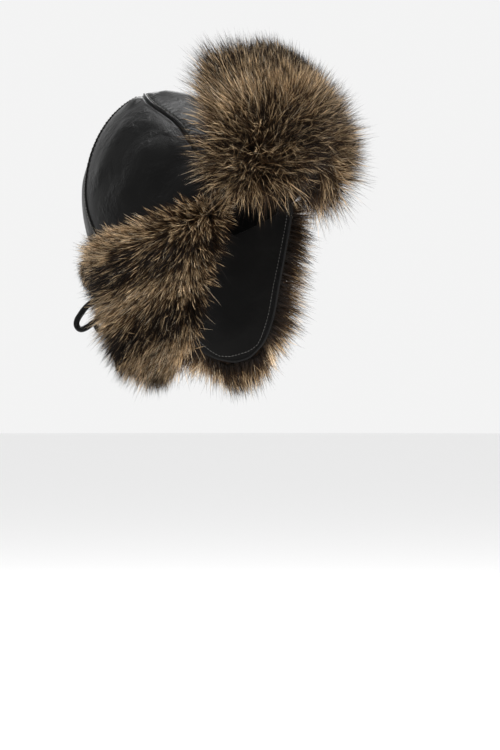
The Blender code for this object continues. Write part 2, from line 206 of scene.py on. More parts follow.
def ear_flap_edges(share):
    """The bearings of an ear flap's front and back edges at shares of its length."""
    shares, front, back = (np.array(column) for column in zip(*EAR_FLAP_ROWS))
    near = [np.clip(share + step, 0.0, 1.0) for step in (-0.06, -0.03, 0.0, 0.03, 0.06)]
    front = sum(np.interp(place, shares, front) for place in near) / len(near)
    back = sum(np.interp(place, shares, back) for place in near) / len(near)
    return np.radians(front), np.radians(back)


def ear_flap_surface(side, outward):
    """An ear flap: u runs front to back and v runs down. The side is 1 for the left and -1 for the right."""

    def surface(u, v):
        bearing = mix(*ear_flap_edges(v), u)
        return off_wall(side * bearing, crown_edge(bearing) - SEAM_GAP - EAR_FLAP_LENGTH * v, outward)

    return surface


def neck_flap_surface(outward):
    """The neck flap between the two ear flaps: u runs left to right behind the head and v runs down."""

    def surface(u, v):
        _, edge = ear_flap_edges(v * NECK_FLAP_LENGTH / EAR_FLAP_LENGTH)
        first = edge + NECK_FLAP_GAP
        bearing = mix(first, 2.0 * math.pi - first, u)
        return off_wall(bearing, crown_edge(bearing) - SEAM_GAP - NECK_FLAP_LENGTH * v, outward)

    return surface


print("flap lengths", FRONT_FLAP_RISE, EAR_FLAP_LENGTH, NECK_FLAP_LENGTH)

# %% [markdown]
# ## Materials
#
# Black leather with fine grain, soft creases and a waxy shine, and fur whose colour runs along each hair.

# %% Shader helpers
def add(tree, kind, **inputs):
    """A new shader node with the given input values."""
    node = tree.nodes.new(kind)
    for name, value in inputs.items():
        node.inputs[name.replace("_", " ")].default_value = value
    return node


def math_node(tree, operation, first, second=None, clamp=False):
    """The output of a new math node whose inputs are sockets or numbers."""
    node = tree.nodes.new("ShaderNodeMath")
    node.operation = operation
    node.use_clamp = clamp
    for socket, value in zip(node.inputs, (first, second)):
        if isinstance(value, bpy.types.NodeSocket):
            tree.links.new(value, socket)
        elif value is not None:
            socket.default_value = value
    return node.outputs[0]


def ramp(tree, source, stops):
    """A colour ramp over a source value. stops are (position, colour)."""
    node = tree.nodes.new("ShaderNodeValToRGB")
    elements = node.color_ramp.elements
    while len(elements) < len(stops):
        elements.new(0.5)
    for element, (position, colour) in zip(elements, stops):
        element.position = position
        element.color = (*colour, 1.0)
    tree.links.new(source, node.inputs["Fac"])
    return node.outputs["Color"]


def new_material(name):
    """A new material, its node tree and its shader."""
    material = bpy.data.materials.new(name)
    material.use_nodes = True
    return material, material.node_tree, material.node_tree.nodes["Principled BSDF"]


# %% Leather grain group
def leather_group():
    """Heights, tone and gloss of soft garment leather: pebbled grain, and wrinkles that come in patches."""
    group = bpy.data.node_groups.new("leather_grain", "ShaderNodeTree")
    for output in ("Grain Height", "Wrinkle Height", "Tone", "Gloss"):
        group.interface.new_socket(output, in_out="OUTPUT", socket_type="NodeSocketFloat")
    end = group.nodes.new("NodeGroupOutput")
    place = group.nodes.new("ShaderNodeTexCoord").outputs["Object"]
    cells = add(group, "ShaderNodeTexVoronoi", Scale=1100.0, Randomness=1.0)
    cells.feature = "SMOOTH_F1"
    cells.inputs["Smoothness"].default_value = 0.35
    pores = add(group, "ShaderNodeTexNoise", Scale=2600.0, Detail=2.0)
    wrinkles = add(group, "ShaderNodeTexNoise", Scale=190.0, Detail=3.0, Roughness=0.5, Distortion=0.8)
    patches = add(group, "ShaderNodeTexNoise", Scale=34.0, Detail=2.0)
    wear = add(group, "ShaderNodeTexNoise", Scale=14.0, Detail=3.0)
    for node in (cells, pores, wrinkles, patches, wear):
        group.links.new(place, node.inputs["Vector"])
    grain = math_node(group, "MULTIPLY", cells.outputs["Distance"], 0.55)
    grain = math_node(group, "ADD", grain, math_node(group, "MULTIPLY", pores.outputs["Fac"], 0.18))
    where = math_node(group, "SUBTRACT", patches.outputs["Fac"], 0.47)
    where = math_node(group, "MULTIPLY", where, 7.0, clamp=True)
    group.links.new(grain, end.inputs["Grain Height"])
    group.links.new(math_node(group, "MULTIPLY", wrinkles.outputs["Fac"], where), end.inputs["Wrinkle Height"])
    group.links.new(wear.outputs["Fac"], end.inputs["Tone"])
    group.links.new(math_node(group, "ADD", grain, wear.outputs["Fac"]), end.inputs["Gloss"])
    return group


LEATHER_GROUP = leather_group()


def leather_material(name, dark, light, rough, bump, wrinkle_depth):
    """Leather between two tones, with roughness that follows its grain."""
    material, tree, shader = new_material(name)
    grain = tree.nodes.new("ShaderNodeGroup")
    grain.node_tree = LEATHER_GROUP
    tone = ramp(tree, grain.outputs["Tone"], [(0.30, dark), (0.72, light)])
    tree.links.new(tone, shader.inputs["Base Color"])
    gloss = math_node(tree, "MULTIPLY", grain.outputs["Gloss"], 0.16)
    tree.links.new(math_node(tree, "ADD", gloss, rough), shader.inputs["Roughness"])
    wrinkles = add(tree, "ShaderNodeBump", Strength=0.7, Distance=wrinkle_depth)
    relief = add(tree, "ShaderNodeBump", Strength=bump, Distance=0.0005)
    tree.links.new(grain.outputs["Wrinkle Height"], wrinkles.inputs["Height"])
    tree.links.new(grain.outputs["Grain Height"], relief.inputs["Height"])
    tree.links.new(wrinkles.outputs["Normal"], relief.inputs["Normal"])
    tree.links.new(relief.outputs["Normal"], shader.inputs["Normal"])
    shader.inputs["Specular IOR Level"].default_value = 0.10
    return material


SHELL_LIGHT = (0.0032, 0.0032, 0.0030)
# name, dark tone, light tone, roughness, grain strength, wrinkle depth
BLACK_LEATHER = leather_material("black_leather_shell", (0.0012,) * 3, SHELL_LIGHT, 0.20, 0.5, 0.0012)
FLAP_SIDE = leather_material("black_leather_flap", (0.005,) * 3, (0.012, 0.0115, 0.011), 0.38, 0.5, 0.0008)
LACE_LEATHER = leather_material("black_leather_lace", (0.003,) * 3, (0.007,) * 3, 0.12, 0.35, 0.0003)
print("leather materials", BLACK_LEATHER.name, FLAP_SIDE.name, LACE_LEATHER.name)

# %% Thread material
THREAD, thread_tree, thread_shader = new_material("waxed_thread")
thread_place = thread_tree.nodes.new("ShaderNodeTexCoord").outputs["Object"]
thread_twist = add(thread_tree, "ShaderNodeTexWave", Scale=900.0, Distortion=1.0)
thread_tree.links.new(thread_place, thread_twist.inputs["Vector"])
# The thread's grey is partly its own colour and partly a painted highlight, so that the stitches read as light
# dots on the black leather.
thread_stops_with_painted_glint = [(0.0, (0.06, 0.058, 0.054)), (1.0, (0.16, 0.155, 0.145))]
thread_tone_and_painted_glint = ramp(thread_tree, thread_twist.outputs["Fac"], thread_stops_with_painted_glint)
thread_tree.links.new(thread_tone_and_painted_glint, thread_shader.inputs["Base Color"])
thread_shader.inputs["Roughness"].default_value = 0.55
print("thread material ready")

# %% [markdown]
# ### Fur colour
#
# Each hair carries a UV map: U is its kind and V runs from root to tip. Raccoon guard hair is dark at the
# root, brown along the shaft, pale in a band below the tip and black at the tip. U goes from black hair over
# brown and banded hair to pale hair.

# %% Fur material
FUR_UV = "OFBake"
BLACK_HAIR = 0.36
BROWN_HAIR = 0.70
BANDED_HAIR = 0.90


def fur_material(name):
    """Hair coloured by its kind and along its length, each with its own shade."""
    material, tree, shader = new_material(name)
    uv = tree.nodes.new("ShaderNodeUVMap")
    uv.uv_map = FUR_UV
    split = tree.nodes.new("ShaderNodeSeparateXYZ")
    tree.links.new(uv.outputs["UV"], split.inputs["Vector"])
    kind, along = split.outputs["X"], split.outputs["Y"]
    black = [(0.0, (0.007, 0.005, 0.003)), (0.5, (0.022, 0.013, 0.008)), (1.0, (0.006, 0.005, 0.004))]
    brown = [
        (0.00, (0.004, 0.002, 0.001)),
        (0.35, (0.020, 0.010, 0.004)),
        (0.66, (0.085, 0.046, 0.022)),
        (0.86, (0.042, 0.023, 0.011)),
        (1.00, (0.007, 0.005, 0.003)),
    ]
    banded = [
        (0.00, (0.004, 0.002, 0.001)),
        (0.38, (0.035, 0.019, 0.009)),
        (0.56, (0.370, 0.235, 0.115)),
        (0.76, (0.800, 0.580, 0.340)),
        (0.84, (0.060, 0.036, 0.019)),
        (0.90, (0.008, 0.005, 0.004)),
        (1.00, (0.004, 0.003, 0.003)),
    ]
    pale = [
        (0.00, (0.010, 0.006, 0.003)),
        (0.35, (0.110, 0.068, 0.034)),
        (0.72, (0.950, 0.740, 0.490)),
        (1.00, (0.980, 0.840, 0.640)),
    ]
    coat = ramp(tree, along, black)
    for least, stops in ((BLACK_HAIR, brown), (BROWN_HAIR, banded), (BANDED_HAIR, pale)):
        choice = tree.nodes.new("ShaderNodeMix")
        choice.data_type = "RGBA"
        tree.links.new(math_node(tree, "GREATER_THAN", kind, least), choice.inputs["Factor"])
        tree.links.new(coat, choice.inputs["A"])
        tree.links.new(ramp(tree, along, stops), choice.inputs["B"])
        coat = choice.outputs["Result"]
    shade = math_node(tree, "FRACT", math_node(tree, "MULTIPLY", kind, 9.0))
    shade = math_node(tree, "ADD", math_node(tree, "MULTIPLY", shade, 0.9), 0.55)
    tint = tree.nodes.new("ShaderNodeMix")
    tint.data_type = "RGBA"
    tint.blend_type = "MULTIPLY"
    tint.inputs["Factor"].default_value = 1.0
    tree.links.new(coat, tint.inputs["A"])
    grey = tree.nodes.new("ShaderNodeCombineColor")
    for socket in grey.inputs:
        tree.links.new(shade, socket)
    tree.links.new(grey.outputs["Color"], tint.inputs["B"])
    tree.links.new(tint.outputs["Result"], shader.inputs["Base Color"])
    shader.inputs["Roughness"].default_value = 0.48
    shader.inputs["Specular IOR Level"].default_value = 0.16
    return material


FUR = fur_material("raccoon_hair")


def underfur_material(name):
    """Short dense wool under the guard hair, mottled dark brown."""
    material, tree, shader = new_material(name)
    place = tree.nodes.new("ShaderNodeTexCoord").outputs["Object"]
    patches = add(tree, "ShaderNodeTexNoise", Scale=160.0, Detail=6.0)
    tree.links.new(place, patches.inputs["Vector"])
    tone = ramp(tree, patches.outputs["Fac"], [(0.35, (0.006, 0.004, 0.003)), (0.7, (0.035, 0.022, 0.014))])
    tree.links.new(tone, shader.inputs["Base Color"])
    relief = add(tree, "ShaderNodeBump", Strength=1.0, Distance=0.002)
    tree.links.new(patches.outputs["Fac"], relief.inputs["Height"])
    tree.links.new(relief.outputs["Normal"], shader.inputs["Normal"])
    shader.inputs["Roughness"].default_value = 0.95
    shader.inputs["Specular IOR Level"].default_value = 0.1
    return material


UNDERFUR = underfur_material("raccoon_underfur")
print("fur materials", FUR.name, UNDERFUR.name)

# %% [markdown]
# ## Mesh objects
#
# Every visible piece of the hat is a mesh that rides on the frame's one body.

# %% Mesh helpers
SHARP_EDGE = math.radians(50.0)


def merged(parts):
    """Several pairs of points and faces as one pair of lists."""
    points, faces = [], []
    for part_points, part_faces in parts:
        faces += [[corner + len(points) for corner in face] for face in part_faces]
        points += np.asarray(part_points).tolist()
    return points, faces


def hat_object(name, data, material, slot):
    """A new smooth object from a mesh, riding on the hat."""
    data.shade_smooth()
    data.materials.append(material)
    made = bpy.data.objects.new(name, data)
    bpy.context.scene.collection.objects.link(made)
    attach(made, "root")
    return made


def mesh_object(name, points, faces, material, slot):
    data = bpy.data.meshes.new(name)
    data.from_pydata(points, [], faces)
    data.update()
    return hat_object(name, data, material, slot)


print("sharp from", round(math.degrees(SHARP_EDGE)), "degrees")

# %% [markdown]
# ## Laces
#
# Round black leather laces, rolled from a strip, so that a groove winds along them. Each starts at the ear
# flap or the knot and has its real length.

# %% Lace tubes
LACE_DIAMETER = 0.0055
LACE_SEAT = 0.0004
LACE_SIDES = 14
LACE_GROOVE = 0.24
LACE_WIND = 2.0 * math.pi / 0.085
CURVE_STEPS = 14


def curve_through(points):
    """A smooth line through points."""
    points = [np.array(point, dtype=float) for point in points]
    line = []
    for i in range(len(points) - 1):
        b, c = points[i], points[i + 1]
        a = points[i - 1] if i > 0 else 2 * b - c
        d = points[i + 2] if i + 2 < len(points) else 2 * c - b
        for step in range(CURVE_STEPS):
            t = step / CURVE_STEPS
            square, cube = 2 * a - 5 * b + 4 * c - d, 3 * b - a - 3 * c + d
            line.append(0.5 * (2 * b + (c - a) * t + square * t**2 + cube * t**3))
    return np.array([*line, points[-1]])


def lace_tube(line, closed=False, diameter=LACE_DIAMETER, start_turn=0.0):
    """Points and faces of a rolled leather lace along a line."""
    count = len(line)
    ahead = np.roll(line, -1, axis=0) if closed else np.vstack([line[1:], 2 * line[-1] - line[-2]])
    behind = np.roll(line, 1, axis=0) if closed else np.vstack([2 * line[0] - line[1], line[:-1]])
    tangents = unit(ahead - behind)
    side = unit(np.cross(tangents[0], np.array([0.31, 0.17, 0.94])))
    run = 0.0
    angle = np.arange(LACE_SIDES) * 2.0 * math.pi / LACE_SIDES
    off_groove = (angle + math.pi) % (2 * math.pi) - math.pi
    section = 0.5 * diameter * (1.0 - LACE_GROOVE * np.exp(-((off_groove / 0.30) ** 2)))
    rings = []
    for i in range(count):
        side = unit(side - tangents[i] * (side @ tangents[i]))
        other = np.cross(tangents[i], side)
        if i:
            run += np.linalg.norm(line[i] - line[i - 1])
        turn = angle + start_turn + LACE_WIND * run
        spokes = np.cos(turn)[:, None] * side + np.sin(turn)[:, None] * other
        rings.append(line[i] + section[:, None] * spokes)
    points = np.vstack(rings)
    faces = []
    for i in range(count if closed else count - 1):
        for k in range(LACE_SIDES):
            near, far = i * LACE_SIDES, ((i + 1) % count) * LACE_SIDES
            after = (k + 1) % LACE_SIDES
            faces.append([near + k, near + after, far + after, far + k])
    if not closed:
        faces.append(list(range(LACE_SIDES - 1, -1, -1)))
        faces.append([(count - 1) * LACE_SIDES + k for k in range(LACE_SIDES)])
    return points, faces


def tube_object(name, parts, material=LACE_LEATHER, slot="leather_lace"):
    """One object from several tubes."""
    made = mesh_object(name, *merged(parts), material, slot)
    made.data.set_sharp_from_angle(angle=SHARP_EDGE)
    return made


print("lace", LACE_DIAMETER, "thick")

# %% Bow knot
KNOT_SIZE = np.array([0.017, 0.014, 0.013])
KNOT_BEHIND = 0.003
KNOT_BELOW = 0.0145
NECK_CAD_PILE = 0.020
knot_drop = EDGE_DROP_BACK + SEAM_GAP + NECK_FLAP_LENGTH + NECK_CAD_PILE + KNOT_BELOW
KNOT_MIDDLE = to_hat(0.0, HALF_LENGTH_BACK + KNOT_BEHIND, -knot_drop)


def knot_turn(shift, lean, height, depth):
    """A closed turn of lace round the knot, leaning to one side."""
    turn = np.arange(40) * 2.0 * math.pi / 40
    x = shift + math.tan(lean) * height * np.cos(turn)
    return np.stack([x, depth * np.sin(turn), height * np.cos(turn)], axis=1) + KNOT_MIDDLE


knot = tube_object(
    "bow_knot_turns",
    [
        lace_tube(knot_turn(-0.0040, math.radians(24.0), 0.0036, 0.0040), True, 0.0052),
        lace_tube(knot_turn(0.0040, math.radians(-24.0), 0.0036, 0.0040), True, 0.0052),
        lace_tube(knot_turn(0.0, math.radians(10.0), 0.0042, 0.0046), True, 0.0050),
    ],
)
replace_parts(knot, "bow_knot")
print("knot middle", KNOT_MIDDLE.round(4))

# %% Ties, loops and tails
TIE_DROP = 0.078
TIE_INSET = math.radians(8.0)
BOW_LOOP_ROUTE = [
    # (to the side, backwards, upwards) from the knot's middle
    (0.0088, 0.0148, 0.0142),
    (0.0140, 0.0242, 0.0082),
    (0.0180, 0.0315, -0.0025),
    (0.0190, 0.0330, -0.0085),
    (0.0188, 0.0308, -0.0125),
    (0.0178, 0.0274, -0.0132),
    (0.0155, 0.0230, -0.0108),
    (0.0120, 0.0180, -0.0066),
]
BOW_TAIL_ROUTE = [(0.0130, -0.0040, -0.0300), (0.0145, -0.0080, -0.0510)]


def at_knot(toward, stand):
    """A lace's centre where it meets the knot from this direction, or this far out from there."""
    toward = unit(np.array(toward))
    reach = 1.0 / np.linalg.norm(toward / (0.5 * KNOT_SIZE))
    return KNOT_MIDDLE + toward * (reach + LACE_SEAT + stand)


def mirrored(points, side):
    """Points as they lie on the left side (1) or the right side (-1)."""
    return [np.array(point) * np.array([side, 1.0, 1.0]) for point in points]


def tie_line(side):
    """From the inner face of the ear flap's back edge to the knot."""
    share = TIE_DROP / EAR_FLAP_LENGTH
    _, edge = ear_flap_edges(share)
    inside = FLAP_LEATHER + LACE_SEAT + 0.5 * LACE_DIAMETER
    points = []
    for inset in (-1.0, -0.4, 0.2):
        bearing = float(edge) + inset * TIE_INSET
        points.append(off_wall(np.array(bearing), crown_edge(bearing) - TIE_DROP, -inside))
    toward = (1.0, -0.25, -0.15)
    points += [at_knot(toward, 0.012), at_knot(toward, 0.0)]
    return curve_through(mirrored(points, side))


def loop_line(side):
    """Out of the knot, round the bow's loop and back into it."""
    start, end = (0.45, 0.85, 0.55), (0.50, 0.90, -0.30)
    route = [KNOT_MIDDLE + np.array(step) for step in BOW_LOOP_ROUTE]
    points = [at_knot(start, 0.0), at_knot(start, 0.004), *route, at_knot(end, 0.005), at_knot(end, 0.0)]
    return curve_through(mirrored(points, side))


def tail_line(side):
    """From the knot down to the lace's free end."""
    start = (0.55, -0.10, -0.95)
    route = [KNOT_MIDDLE + np.array(step) for step in BOW_TAIL_ROUTE]
    return curve_through(mirrored([at_knot(start, 0.0), at_knot(start, 0.006), *route], side))


for side, word in ((1.0, "left"), (-1.0, "right")):
    for kind, line, far_end, lay in (
        ("tie", tie_line(side), "knot", "taut"),
        ("bow_loop", loop_line(side), "knot", "loose"),
        ("bow_tail", tail_line(side), "bare", "hanging"),
    ):
        lace = tube_object(f"{kind}_{word}_lace", [lace_tube(line, start_turn=side)])
        length = line_length(line)
        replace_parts(lace, f"{kind}_{word}")
        print(lace.name, round(length, 4), "m")

# %% [markdown]
# ## Leather crown
#
# Four gores meet at the top. Each is a fine grid on the wall, closer together near its seams, so that it can
# carry the seam's groove, the raised strip beside it, the stitch puckers and the soft folds.

# %% Making a mesh from a grid
def grid_object(name, surface, u_values, v_values, material, slot):
    """A grid laid on a surface, facing away from the head. Its points run along u first."""
    u, v = np.meshgrid(u_values, v_values)
    points = surface(u.ravel(), v.ravel())
    width = len(u_values)
    corner = (np.arange(len(v_values) - 1)[:, None] * width + np.arange(width - 1)[None, :]).ravel()
    faces = np.stack([corner, corner + 1, corner + width + 1, corner + width], axis=1)
    a, b, c, _ = points[faces[len(faces) // 2]]
    if np.dot(np.cross(b - a, c - a), a - MIDDLE) < 0.0:
        faces = faces[:, ::-1]
    return mesh_object(name, points.tolist(), faces.tolist(), material, slot)


def thicken(made, thickness, inward=True):
    """Gives an open sheet its thickness, towards the head or away from it."""
    wall = made.modifiers.new("thickness", "SOLIDIFY")
    wall.thickness = thickness
    wall.offset = -1.0 if inward else 1.0
    wall.use_even_offset = False
    wall.use_quality_normals = True
    with bpy.context.temp_override(object=made, active_object=made, selected_objects=[made]):
        bpy.ops.object.modifier_apply(modifier=wall.name)
    made.data.shade_smooth()
    made.data.set_sharp_from_angle(angle=SHARP_EDGE)


def denser_ends(count, crowding):
    """Shares from 0 to 1 that lie closer together near both ends."""
    even = np.linspace(0.0, 1.0, count)
    return even - crowding * np.sin(2.0 * math.pi * even) / (2.0 * math.pi)


print("grid shares", denser_ends(5, 0.88).round(3))

# %% Crown gores
FRONT_SEAM = math.radians(60.2)
FRONT_SEAM_SWING = math.radians(10.0)
FRONT_SWING_START = 0.42
FRONT_SWING_RUN = 0.33
BACK_SEAM = math.radians(135.0)
BACK_SEAM_SWING = math.radians(7.5)
BACK_SWING_RUN = 0.35
APEX_RADIUS = 0.0005
CROWN_LEATHER = 0.0022
SEAM_GROOVE = 0.0013
SEAM_STRIP = 0.0033
STITCH_PITCH = 0.0031
PUCKER_PITCH = 0.0043
GORE_CLIMB = 0.165
CROWN_FOLDS = [
    # (first bearing, first height, last bearing, last height, half width, depth)
    (-126.0, 0.34, -84.0, 0.80, 0.11, 0.0022),
    (-112.0, 0.08, -74.0, 0.58, 0.14, 0.0026),
    (-92.0, 0.02, -62.0, 0.34, 0.13, -0.0030),
    (-104.0, 0.24, -72.0, 0.66, 0.12, -0.0016),
    (-78.0, 0.90, -104.0, 0.955, 0.09, 0.0022),
    (-50.0, 0.955, -30.0, 0.70, 0.085, 0.0030),
    (-40.0, 0.97, -12.0, 0.88, 0.07, -0.0016),
    (-58.0, 0.60, -38.0, 0.42, 0.07, 0.0012),
    (-176.0, 0.20, -150.0, 0.62, 0.18, 0.0014),
    (70.0, 0.12, 104.0, 0.50, 0.19, 0.0018),
    (122.0, 0.28, 96.0, 0.74, 0.15, -0.0014),
    (44.0, 0.84, 18.0, 0.64, 0.10, 0.0020),
    (178.0, 0.55, 152.0, 0.24, 0.16, 0.0014),
]


def fold(place):
    """How far the leather stands out from the plain wall at each place of the crown."""
    stand = np.zeros(place.shape[:-1])
    for first, low, last, high, half_width, depth in CROWN_FOLDS:
        start = wall_point(math.radians(first), low * CROWN_HEIGHT)
        run = wall_point(math.radians(last), high * CROWN_HEIGHT) - start
        along = (place - start) @ run / (run @ run)
        nearest = start + run * np.clip(along, 0.0, 1.0)[..., None]
        off = np.linalg.norm(place - nearest, axis=-1) / (half_width * HALF_WIDTH)
        stand += depth * smooth(np.minimum(along, 1.0 - along) / 0.3) * np.exp(-off * off)
    return stand


def seam_relief(distance, run, strip):
    """Height beside a seam: a groove, then a raised ridge if this side has one, with stitch puckers past it."""
    groove = -SEAM_GROOVE * np.exp(-((distance / 0.0007) ** 2))
    raised = (0.0001 + 0.0013 * strip) * np.exp(-(((distance - 0.0016) / 0.0007) ** 2))
    line = -(0.0001 + 0.0005 * strip) * np.exp(-(((distance - SEAM_STRIP) / 0.0006) ** 2))
    pucker = 0.0004 * strip * np.cos(run * 2.0 * math.pi / PUCKER_PITCH)
    pucker = pucker * np.exp(-(((distance - 0.0052) / 0.0030) ** 2))
    pulled = -0.0003 * np.exp(-((distance / 0.008) ** 2))
    return groove + raised + line + pucker + pulled


def seam_bearing(seam, v):
    """A seam's bearing at shares of the way up. All swing back: front seams high up, back seams low down."""
    if abs(seam) == FRONT_SEAM:
        swing = FRONT_SEAM_SWING * smooth((v - FRONT_SWING_START) / FRONT_SWING_RUN)
    else:
        swing = BACK_SEAM_SWING * smooth(v / BACK_SWING_RUN)
    return seam + swing if 0.0 < seam < math.pi else seam - swing


def gore_place(first, last, u, v):
    """Where a place of a gore lies: the bearings of its two seams there, its height and its radius."""
    top = CROWN_HEIGHT * (1.0 - (APEX_RADIUS / HALF_WIDTH) ** DOME_POWER) ** (1.0 / DOME_POWER)
    near, far = seam_bearing(first, v), seam_bearing(last, v)
    bearing = mix(near, far, u)
    climb = np.sin(0.5 * math.pi * np.clip(v, 0.0, 1.0)) ** (2.0 / DOME_POWER)
    rise = mix(crown_edge(bearing), top, climb)
    radius = np.linalg.norm(wall_point(bearing, rise) - wall_point(bearing + math.pi, rise), axis=-1) / 2.0
    return near, far, rise, radius


def gore(first, last, strips):
    """The surface of one crown gore between two seams: u runs across it and v runs up to the apex."""

    def surface(u, v):
        near, far, rise, radius = gore_place(first, last, u, v)
        inset = 0.00004 / np.maximum(radius, APEX_RADIUS)
        plain = wall_point(mix(near + inset, far - inset, u), rise)
        inner = smooth(np.minimum(u, 1.0 - u) / 0.10) * smooth(np.minimum(v, 1.0 - v) / 0.06)
        to_first = u * (far - near) * radius
        to_last = (1.0 - u) * (far - near) * radius
        run = v * GORE_CLIMB
        relief = seam_relief(to_first, run, strips[0]) + seam_relief(to_last, run, strips[1])
        relief = relief * smooth(radius / 0.006)
        out = unit(plain - MIDDLE)
        return plain + out * (fold(plain) * inner + relief)[..., None]

    return surface


GORES = {
    # name: (first bearing, last bearing, whether a raised strip runs along the first and the last seam)
    "crown_front": (-FRONT_SEAM, FRONT_SEAM, (1.0, 1.0)),
    "crown_left": (FRONT_SEAM, BACK_SEAM, (0.0, 1.0)),
    "crown_back": (BACK_SEAM, 2.0 * math.pi - BACK_SEAM, (0.0, 0.0)),
    "crown_right": (-BACK_SEAM, -FRONT_SEAM, (1.0, 0.0)),
}
for gore_name, (gore_first, gore_last, gore_strips) in GORES.items():
    columns, rows = (58, 150) if gore_name == "crown_front" else (52, 76)
    panel = grid_object(
        f"{gore_name}_leather",
        gore(gore_first, gore_last, gore_strips),
        denser_ends(columns, 0.88),
        np.linspace(0.0, 1.0, rows),
        BLACK_LEATHER,
        "black_leather",
    )
    thicken(panel, CROWN_LEATHER)
    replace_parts(panel, gore_name)
    print(panel.name, len(panel.data.polygons), "faces")

# %% [markdown]
# ### Topstitching
#
# A row of waxed thread beside each seam of the crown: on the front gore's strips, and on the side gores next
# to the back seams.

# %% Stitch rows
STITCH_LENGTH = 0.0022
STITCH_THICKNESS = 0.00062
STITCH_SIDES = 6
STITCH_LIFT = 0.0005
BACK_STITCH_OFF = 0.0022


def spaced(line, pitch):
    """Distances along a line at an even spacing, and a function that gives the points at distances."""
    steps = np.linalg.norm(np.diff(line, axis=0), axis=1)
    run = np.concatenate([[0.0], np.cumsum(steps)])
    at = np.arange(0.0, run[-1] - pitch, pitch)
    return at, lambda where: np.stack([np.interp(where, run, line[:, i]) for i in range(3)], axis=-1)


def stitch_row(line, outward=1.0):
    """Points and faces of a row of short rounded stitches that dip into the leather at both ends."""
    at, place = spaced(line, STITCH_PITCH)
    shares = np.array([0.0, 0.12, 0.5, 0.88, 1.0])
    widths = np.array([0.45, 0.95, 1.0, 0.95, 0.45]) * STITCH_THICKNESS * 0.5
    rises = np.array([-0.00022, 0.00008, 0.00024, 0.00008, -0.00022])
    turn = np.arange(STITCH_SIDES) * 2.0 * math.pi / STITCH_SIDES
    points, faces = [], []
    for start in at:
        spine = place(start + shares * STITCH_LENGTH)
        out = unit(spine - MIDDLE) * outward
        ahead = unit(spine[-1:] - spine[:1])
        side = unit(np.cross(ahead, out))
        centre = spine + out * rises[:, None]
        rings = centre[:, None] + widths[:, None, None] * (
            np.cos(turn)[None, :, None] * side[:, None] + np.sin(turn)[None, :, None] * out[:, None]
        )
        base = len(points)
        points += rings.reshape(-1, 3).tolist()
        for ring in range(len(shares) - 1):
            for k in range(STITCH_SIDES):
                a = base + ring * STITCH_SIDES
                after = (k + 1) % STITCH_SIDES
                faces.append([a + k, a + after, a + STITCH_SIDES + after, a + STITCH_SIDES + k])
        faces.append([base + k for k in reversed(range(STITCH_SIDES))])
        faces.append([base + (len(shares) - 1) * STITCH_SIDES + k for k in range(STITCH_SIDES)])
    return points, faces


def thread_object(name, rows):
    """One object from several rows of stitches."""
    made = mesh_object(name, *merged(rows), THREAD, "black_leather")
    print(name, len(made.data.polygons), "faces")


def seam_line(gore_name, at_first, distance):
    """A line up a gore, this far from one of its seams."""
    first, last, strips = GORES[gore_name]
    v = np.linspace(0.04, 0.955, 500)
    near, far, _, radius = gore_place(first, last, np.full_like(v, 0.0 if at_first else 1.0), v)
    u = distance / ((far - near) * radius)
    line = gore(first, last, strips)(u if at_first else 1.0 - u, v)
    return line + unit(line - MIDDLE) * STITCH_LIFT


thread_object(
    "crown_stitches",
    [
        stitch_row(seam_line("crown_front", True, SEAM_STRIP)),
        stitch_row(seam_line("crown_front", False, SEAM_STRIP)),
        stitch_row(seam_line("crown_right", True, BACK_STITCH_OFF)),
        stitch_row(seam_line("crown_left", False, BACK_STITCH_OFF)),
    ],
)

# %% [markdown]
# ## Flap leather
#
# The flaps are black leather that is turned over at the edge. The fur grows on their outer side.

# %% Flap panels
def round_corners(surface, rounding):
    """Draws the two corners of a surface's far edge (v near 1) in, as a rounded cut."""

    def rounded(u, v):
        side = np.abs(2.0 * u - 1.0)
        return surface(u, v * (1.0 - rounding * side**4))

    return rounded


def reaching_up(surface, length):
    """Moves a hanging flap's top edge up by the seam's gap, so that no light shows through the seam."""
    more = 1.6 * SEAM_GAP / length
    return lambda u, v: surface(u, v * (1.0 + more) - more)


def ear_panel(side):
    return round_corners(reaching_up(ear_flap_surface(side, 0.0), EAR_FLAP_LENGTH), 0.07)


FLAPS = {
    # name: (surface, points across, points along)
    "front_flap": (round_corners(front_flap_surface(FRONT_FLAP_SEAT + FLAP_LEATHER), 0.06), 60, 26),
    "ear_flap_left": (ear_panel(1.0), 34, 46),
    "ear_flap_right": (ear_panel(-1.0), 34, 46),
    "neck_flap": (reaching_up(neck_flap_surface(0.0), NECK_FLAP_LENGTH), 60, 8),
}
for flap_name, (flap_surface, columns, rows) in FLAPS.items():
    panel = grid_object(
        f"{flap_name}_leather",
        flap_surface,
        np.linspace(0.0, 1.0, columns),
        np.linspace(0.0, 1.0, rows),
        FLAP_SIDE,
        "black_leather",
    )
    thicken(panel, FLAP_LEATHER)
    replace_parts(panel, flap_name)
    print(panel.name, len(panel.data.polygons), "faces")

# %% [markdown]
# ### Flap edges
#
# The leather is turned round the edge of each flap as a narrow roll, with a row of stitches inside it on every
# flap but the neck flap.

# %% Edge rolls and stitches
EDGE_ROLL = 0.0030
EDGE_ROLL_PITCH = 0.0028
EDGE_STITCH = 0.0050
END_STEPS = 60


def flap_outline(surface, inset, depth):
    """A line round the free edges of a flap, this far inside them and this deep under its outer face."""
    v = np.linspace(0.012, 1.0, 240)
    wide = np.linalg.norm(surface(np.ones_like(v), v) - surface(np.zeros_like(v), v), axis=-1)
    tall = np.linalg.norm(np.subtract(*surface(np.array([0.5, 0.5]), np.array([1.0, 0.0]))))
    last = 1.0 - inset / tall
    v = v[v <= last]
    share = inset / wide[: len(v)]
    across = np.linspace(share[-1], 1.0 - share[-1], END_STEPS)
    u = np.concatenate([share, across[1:-1], 1.0 - share[::-1]])
    v = np.concatenate([v, np.full(END_STEPS - 2, v[-1]), v[::-1]])
    normal, _ = frame_of(surface, u, v)
    return surface(u, v) - normal * depth


